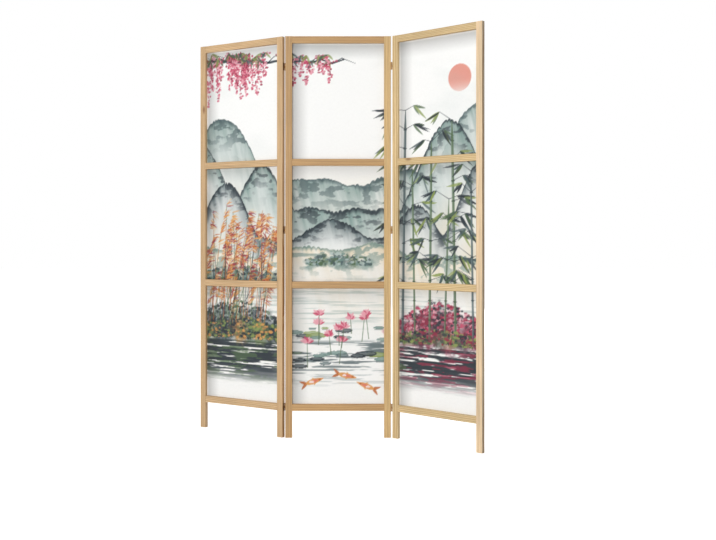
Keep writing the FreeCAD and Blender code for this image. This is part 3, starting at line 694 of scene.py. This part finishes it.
def paint_print(across, up):
    """Paint the whole design, from the sky to the near bank, then the painted shade along the
    window edges.
    """
    rng = random.Random(11)
    art = Print(across, up)
    wash_sky(art)
    wash_hills(art)
    wash_water(art)
    wash_shore(art, 735, 520, 840, "teal", 0.6, 50)
    dab_shrubs(art, rng, 540, 820, 738, 48, 170, "teal", "slate", "moss", "mist")
    wash_shore(art, 660, 0, 470, "slate", 0.7, 52)
    dab_shrubs(art, rng, -30, 450, 660, 70, 240, "slate", "teal", "ink", "moss")
    wash_shore(art, 430, -60, 440, "ink", 0.95, 54)
    wash_shore(art, 425, 900, 1400, "ink", 0.95, 56)
    dab_shrubs(art, rng, -60, 450, 425, 150, 760, "ink", "ink", "ink", "slate", "moss")
    dab_shrubs(art, rng, 900, 1410, 420, 150, 760, "ink", "ink", "ink", "slate", "wine")
    dab_shrubs(art, rng, 890, 1380, 425, 160, 640, "rose", "pink", "wine", "wine", "ink")
    brush_bamboo(art, rng)
    brush_reeds(art, rng)
    dab_shrubs(art, rng, -40, 470, 412, 95, 430, "moss", "leaf", "ink", "ink", "amber")
    dab_shrubs(art, rng, 900, 1380, 412, 60, 240, "moss", "leaf", "ink", "wine")
    float_lotus(art, rng)
    swim_carp(art)
    brush_wisteria(art, rng)
    # Painted shade: a soft grey shadow along the left and upper window edges
    shade_edges(art)
    return linear(art.rgb)


# Pieces

def windows():
    """List the lower and upper edge of the three windows, from the rails in the frame."""
    return [(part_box(f"centre_panel_{low}")[1].z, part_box(f"centre_panel_{high}")[0].z)
            for low, high in zip(BARS[2:], BARS[3:])]


def belly(across, up, seed):
    """Find how far the slack cloth stands back or forward at each point."""
    sizes = bpy.context.scene.screen_sizes
    side = sizes.stile_width
    wide = sizes.panel_width - 2 * side
    sway = (clouds(across * 1000, up * 1000, (300, 380), seed) - 0.5) * 2
    depth = np.zeros(len(across))
    for low, high in windows():
        inside = np.clip((up - low) / (high - low), 0, 1)
        beside = np.clip((across - side) / wide, 0, 1)
        depth += np.sin(np.pi * inside) ** 0.7 * np.sin(np.pi * beside) ** 0.7 * (0.35 + sway)
    return depth * sizes.sheet_slack


def cut_sheet(name):
    """Cut a flat sheet that stands about the origin, its printed face forwards, with a UV map."""
    sizes = bpy.context.scene.screen_sizes
    pick()
    half = sizes.sheet_thickness / 2
    # The printed face is fine, and the back, where the ink only shows through, is coarse
    bpy.ops.mesh.primitive_grid_add(x_subdivisions=50, y_subdivisions=150, size=1,
                                    location=(0, half, 0), rotation=(math.pi / 2, 0, math.pi))
    back = bpy.context.object
    bpy.ops.mesh.primitive_grid_add(x_subdivisions=sizes.print_columns,
                                    y_subdivisions=sizes.print_rows, size=1,
                                    location=(0, -half, 0), rotation=(math.pi / 2, 0, 0))
    piece = bpy.context.object
    for grid in (back, piece):
        grid.scale = (sizes.sheet_width, sizes.sheet_height, 1)
        grid.data.uv_layers[0].name = "cut"
    pick(piece, back)
    bpy.ops.object.join()
    bpy.ops.object.transform_apply()
    piece.name = name
    piece.data.name = name
    # A narrow rim closes the cut edge
    bpy.ops.object.mode_set(mode="EDIT")
    bpy.ops.mesh.select_mode(type="EDGE")
    bpy.ops.mesh.select_all(action="DESELECT")
    bpy.ops.mesh.select_non_manifold(extend=False, use_wire=False, use_multi_face=False,
                                     use_verts=False)
    bpy.ops.mesh.bridge_edge_loops()
    bpy.ops.mesh.select_all(action="SELECT")
    bpy.ops.mesh.normals_make_consistent(inside=False)
    bpy.ops.object.mode_set(mode="OBJECT")
    return piece


def stretch_sheet(panel, material):
    """Print a cut sheet, and stretch it behind the rails of a panel."""
    sizes = bpy.context.scene.screen_sizes
    piece = cut_sheet(f"{panel}_panel_printed_cloth")
    points = np.zeros(len(piece.data.vertices) * 3)
    piece.data.vertices.foreach_get("co", points)
    points = points.reshape(-1, 3)
    behind = points[:, 1] > 0
    across = points[:, 0] + sizes.panel_width / 2
    up = points[:, 2] + sizes.sheet_foot + sizes.sheet_height / 2
    number = PANELS.index(panel)
    # The colours hold the print and the painted shade along the window edges
    print_and_painted_shade = paint_print((across + number * sizes.panel_width) * 1000, up * 1000)
    # About a third of the ink shows through at the back
    cloth = linear(bpy.context.scene.screen_inks.cloth)
    print_and_painted_shade[behind] = print_and_painted_shade[behind] * 0.38 + cloth * 0.60
    layer = piece.data.color_attributes.new("print", "FLOAT_COLOR", "POINT")
    layer.data.foreach_set("color", np.column_stack((print_and_painted_shade, np.ones(len(print_and_painted_shade)))).ravel())
    points[:, 0] = across
    points[:, 1] += sizes.sheet_depth + belly(across, up, 60 + number)
    points[:, 2] = up
    piece.data.vertices.foreach_set("co", points.ravel())
    piece.data.update()
    foot, turn = panel_axes(panel)
    place(piece, foot, (0, 0, turn))
    bpy.ops.object.shade_smooth_by_angle(angle=math.radians(40))
    piece.data.materials.clear()
    piece.data.materials.append(material)
    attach(piece, f"{panel}_panel")
    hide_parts(f"{panel}_panel_printed_sheet")


def turn_screw():
    """Turn one slotted countersunk screw, with its head flat at the origin and its point down."""
    sizes = bpy.context.scene.screen_sizes
    pick()
    thread = sizes.screw_diameter / 2
    head = sizes.head_diameter / 2
    pitch = sizes.screw_pitch
    # The core under the thread is 0.76 as thick, and the tip is a fifth of that
    core = thread * 0.76
    tip = core * 0.2
    # Each step goes up to a height and out to a radius, from the point to the rim of the head
    level = sizes.screw_point - sizes.screw_length
    steps = [(level, core)]
    while level < -sizes.screw_neck - pitch:
        steps += [(level + pitch * 0.35, thread), (level + pitch * 0.5, thread),
                  (level + pitch * 0.95, core)]
        level += pitch
    shoulder = head - thread + sizes.head_land
    steps += [(-sizes.screw_neck, thread), (-shoulder, thread), (-sizes.head_land, head), (0, head)]
    height, radius = -sizes.screw_length, tip
    bpy.ops.mesh.primitive_circle_add(vertices=24, radius=tip, fill_type="NGON",
                                      location=(0, 0, height))
    screw = bpy.context.object
    bpy.ops.object.transform_apply()
    bpy.ops.object.mode_set(mode="EDIT")
    bpy.ops.mesh.select_mode(type="FACE")
    bpy.ops.mesh.select_all(action="SELECT")
    for next_height, next_radius in steps:
        bpy.ops.mesh.extrude_region_move(
            TRANSFORM_OT_translate={"value": (0, 0, next_height - height)})
        share = next_radius / radius
        bpy.ops.transform.resize(value=(share, share, 1), center_override=(0, 0, next_height))
        height, radius = next_height, next_radius
    # A small bevel breaks the rim of the head
    bpy.ops.mesh.select_all(action="DESELECT")
    bpy.ops.object.mode_set(mode="OBJECT")
    for face in screw.data.polygons:
        face.select = face.center.z > -1e-6 and face.normal.z > 0.9
    bpy.ops.object.mode_set(mode="EDIT")
    bpy.ops.mesh.bevel(offset=sizes.head_bevel, segments=1)
    bpy.ops.mesh.select_all(action="SELECT")
    bpy.ops.mesh.normals_make_consistent(inside=False)
    bpy.ops.object.mode_set(mode="OBJECT")
    # A thin saw cut makes the slot
    bpy.ops.mesh.primitive_cube_add(size=1, location=(0, 0, 0))
    saw = bpy.context.object
    saw.scale = (sizes.head_diameter * 2, sizes.slot_width, sizes.slot_depth * 2)
    bpy.ops.object.transform_apply()
    pick(screw)
    cut = screw.modifiers.new("slot", "BOOLEAN")
    cut.operation = "DIFFERENCE"
    cut.solver = "EXACT"
    cut.object = saw
    bpy.ops.object.modifier_apply(modifier=cut.name)
    bpy.data.objects.remove(saw)
    bpy.ops.object.shade_smooth_by_angle(angle=math.radians(35))
    return screw


def screw_places(panel):
    """List the place and turn of each screw head of a panel, in the panel's own coordinates."""
    sizes = bpy.context.scene.screen_sizes
    # The joints at the left edge of a panel, and at its right edge
    rows = {
        "left": ((sizes.panel_width, "left"),),
        "centre": ((0, "left"), (sizes.panel_width, "right")),
        "right": ((0, "right"),),
    }
    found = []
    for edge, joint in rows[panel]:
        # The left joint's knuckles stand behind the panels, and the right joint's before them
        depth = sizes.stile_depth - sizes.screw_inset if joint == "left" else sizes.screw_inset
        stand = getattr(sizes, f"{joint}_leaf_stand")
        outward = 1 if edge else -1
        for level in ("bottom", "middle", "top"):
            low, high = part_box(f"{joint}_joint_{level}_hinge_centre_leaf")
            for side in (-1, 1):
                height = (low.z + high.z) / 2 + side * sizes.screw_spacing / 2
                found.append(((edge + outward * stand, depth, height), outward))
    return found


# Operators

class SCREEN_OT_lay_stage(bpy.types.Operator):
    """Set the camera, the pale floor, the plain studio light and the view transform"""

    bl_idname = "folding_screen.lay_stage"
    bl_label = "Lay the stage"

    def execute(self, context):
        scene = context.scene
        pick()
        camera = bpy.data.cameras.new("camera")
        camera.lens = 47.3
        camera.sensor_width = 36
        camera.shift_y = -0.0471
        camera.clip_end = 100
        viewer = bpy.data.objects.new("camera", camera)
        viewer.location = (0.1041, -3.983, 0.858)
        viewer.rotation_euler = (math.pi / 2, 0, 0)
        scene.collection.objects.link(viewer)
        scene.camera = viewer
        scene.view_settings.view_transform = "Standard"
        self.lay_floor()
        self.light_world(scene)
        # A lamp has its place, what it faces, the length of its side, and its power in watts
        lamps = (
            ("key", (-3.1, -6.5, 2.6), (0, 0.05, 0.8), 2.4, 240),
            ("fill", (-1.4, -6.2, 0.3), (0, 0.05, 0.3), 3.0, 88),
            ("back", (2.4, 6.4, 2.6), (0, 0.05, 0.8), 3.0, 190),
        )
        for name, location, target, size, power in lamps:
            self.hang_lamp(scene, name, location, target, size, power)
        return {"FINISHED"}

    def seen(self, tree):
        """Give 1 to rays from the camera, off gloss or through glass, and 0 to all others."""
        rays = add(tree, "LightPath").outputs
        either = add(tree, "Math", {0: rays["Is Camera Ray"], 1: rays["Is Glossy Ray"]},
                     operation="MAXIMUM")
        return add(tree, "Math", {0: either, 1: rays["Is Transmission Ray"]}, operation="MAXIMUM")

    def lay_floor(self):
        """Lay a floor that looks white to the camera and still takes the screen's shadow."""
        bpy.ops.mesh.primitive_plane_add(size=40, location=(0, 0, 0))
        floor = bpy.context.object
        floor.name = "floor"
        material, tree, shader = start_material("matt white paper floor")
        feed(tree, shader, {"Base Color": rgba("#f2f2f2"), "Roughness": 0.9})
        # Where it is seen, two thirds of a white glow are added to the light that it returns
        glow = add(tree, "Math", {0: self.seen(tree), 1: 0.66}, operation="MULTIPLY")
        white = add(tree, "Emission", {"Color": (1, 1, 1, 1), "Strength": glow})
        both = add(tree, "AddShader", {0: shader, 1: white})
        feed(tree, tree.nodes["Material Output"], {"Surface": both})
        floor.data.materials.append(material)

    def light_world(self, scene):
        """Light the screen evenly from all round, before a white background."""
        scene.world = bpy.data.worlds.new("studio")
        scene.world.use_nodes = True
        tree = scene.world.node_tree
        # White where it is seen, and 0.4 of that where it lights
        strength = add(tree, "MapRange", {"Value": self.seen(tree), "To Min": 0.40})
        feed(tree, tree.nodes["Background"], {"Color": (1, 1, 1, 1), "Strength": strength})

    def hang_lamp(self, scene, name, location, target, size, power):
        """Hang a square soft lamp that faces a target."""
        lamp = bpy.data.lights.new(name, "AREA")
        lamp.shape = "SQUARE"
        lamp.size = size
        lamp.energy = power
        holder = bpy.data.objects.new(name, lamp)
        holder.location = location
        aim = Vector(target) - Vector(location)
        holder.rotation_euler = aim.to_track_quat("-Z", "Y").to_euler()
        scene.collection.objects.link(holder)


class SCREEN_OT_plane_boards(bpy.types.Operator):
    """Give every stile, rail and bead its own board of planed pine"""

    bl_idname = "folding_screen.plane_boards"
    bl_label = "Plane the boards"

    def execute(self, context):
        for number, panel in enumerate(PANELS):
            axes = panel_axes(panel)
            for index, bar in enumerate(BARS):
                seed = 3 + number * 10 + index
                shift = random.Random(seed).uniform(0.95, 1.04)
                # A board's tone is partly its own and partly painted light and shade
                tone = [share * shift for share in BOARDS_WITH_PAINTED_LIGHT.get((panel, bar), TONES[panel])]
                # Painted shade: the right panel's last stile gets a darker outer side face
                painted_side_shade = 0.52 if (panel, bar) == ("right", "right_stile") else 1.0
                board = planed_pine(f"planed pine, {panel} {bar}", axes, bar.endswith("rail"), seed,
                                    tone, painted_side_shade)
                finish_node(f"{panel}_panel_{bar}", board)
            for index, bead in enumerate(BEADS):
                seed = 41 + number * 10 + index
                lying = bead.startswith(("top", "bottom"))
                strip = planed_pine(f"planed pine strip, {panel} {bead}", axes, lying, seed,
                                    TONES["right"])
                finish_node(f"{panel}_panel_{bead}", strip)
        return {"FINISHED"}


class SCREEN_OT_finish_metal(bpy.types.Operator):
    """Give the hinge leaves their tarnished brass, and the pins and brads their steel"""

    bl_idname = "folding_screen.finish_metal"
    bl_label = "Finish the metal"

    def execute(self, context):
        # Lines of 0.05 mm along the steel, drawn 0.3 and 0.2 mm wide so that they show
        finishes = {
            "_leaf": tarnished_brass(),
            "_pin": drawn_steel("drawn steel wire, bright", 0.0003),
            "_brads": drawn_steel("cut steel strip, bright", 0.0002),
        }
        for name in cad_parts:
            for ending, material in finishes.items():
                if name.endswith(ending):
                    finish_node(name, material)
        return {"FINISHED"}


class SCREEN_OT_drive_screws(bpy.types.Operator):
    """Drive slotted screws through the hinge leaves"""

    bl_idname = "folding_screen.drive_screws"
    bl_label = "Drive the screws"

    def execute(self, context):
        pattern = turn_screw()
        pattern.data.materials.append(tarnished_brass())
        rng = random.Random(5)
        for panel in PANELS:
            foot, turn = panel_axes(panel)
            copies = []
            for where, outward in screw_places(panel):
                copy = pattern.copy()
                copy.data = pattern.data.copy()
                context.scene.collection.objects.link(copy)
                # Each slot stands at its own angle when its screw is tight
                place(copy, (0, 0, 0), (0, 0, rng.uniform(0, math.pi)))
                place(copy, (0, 0, 0), (0, outward * math.pi / 2, 0))
                place(copy, where, (0, 0, 0))
                place(copy, foot, (0, 0, turn))
                copies.append(copy)
            pick(*copies)
            bpy.ops.object.join()
            screws = context.object
            screws.name = f"{panel}_panel_slotted_screws"
            screws.data.name = screws.name
            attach(screws, f"{panel}_panel")
            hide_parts(f"{panel}_panel_hinge_screws")
        bpy.data.objects.remove(pattern)
        return {"FINISHED"}


class SCREEN_OT_stretch_sheets(bpy.types.Operator):
    """Cut, print and stretch the non-woven sheets"""

    bl_idname = "folding_screen.stretch_sheets"
    bl_label = "Stretch the sheets"

    def execute(self, context):
        material = printed_cloth()
        for panel in PANELS:
            stretch_sheet(panel, material)
        return {"FINISHED"}


class SCREEN_PT_sidebar(bpy.types.Panel):
    """Lists the steps and the values"""

    bl_idname = "SCREEN_PT_sidebar"
    bl_label = "Folding screen"
    bl_space_type = "VIEW_3D"
    bl_region_type = "UI"
    bl_category = "Folding screen"

    def draw(self, context):
        for step in STEPS:
            self.layout.operator(step.bl_idname)
        for group in VALUES:
            values = getattr(context.scene, group)
            column = self.layout.column(align=True)
            for name in values.__annotations__:
                column.prop(values, name)


STEPS = (
    SCREEN_OT_lay_stage,
    SCREEN_OT_plane_boards,
    SCREEN_OT_finish_metal,
    SCREEN_OT_drive_screws,
    SCREEN_OT_stretch_sheets,
)
VALUES = {"screen_sizes": ScreenSizes, "screen_finishes": ScreenFinishes, "screen_inks": ScreenInks}
CLASSES = tuple(VALUES.values()) + STEPS + (SCREEN_PT_sidebar,)


def register():
    """Add the classes and the scene's values to Blender."""
    for item in CLASSES:
        bpy.utils.register_class(item)
    for name, group in VALUES.items():
        setattr(bpy.types.Scene, name, PointerProperty(type=group))


def unregister():
    """Take the values and the classes out of Blender."""
    for name in VALUES:
        delattr(bpy.types.Scene, name)
    for item in reversed(CLASSES):
        bpy.utils.unregister_class(item)


def main():
    """Register the add-on and run its steps in order."""
    register()
    bpy.ops.folding_screen.lay_stage()
    bpy.ops.folding_screen.plane_boards()
    bpy.ops.folding_screen.finish_metal()
    bpy.ops.folding_screen.drive_screws()
    bpy.ops.folding_screen.stretch_sheets()


if __name__ == "__main__":
    main()
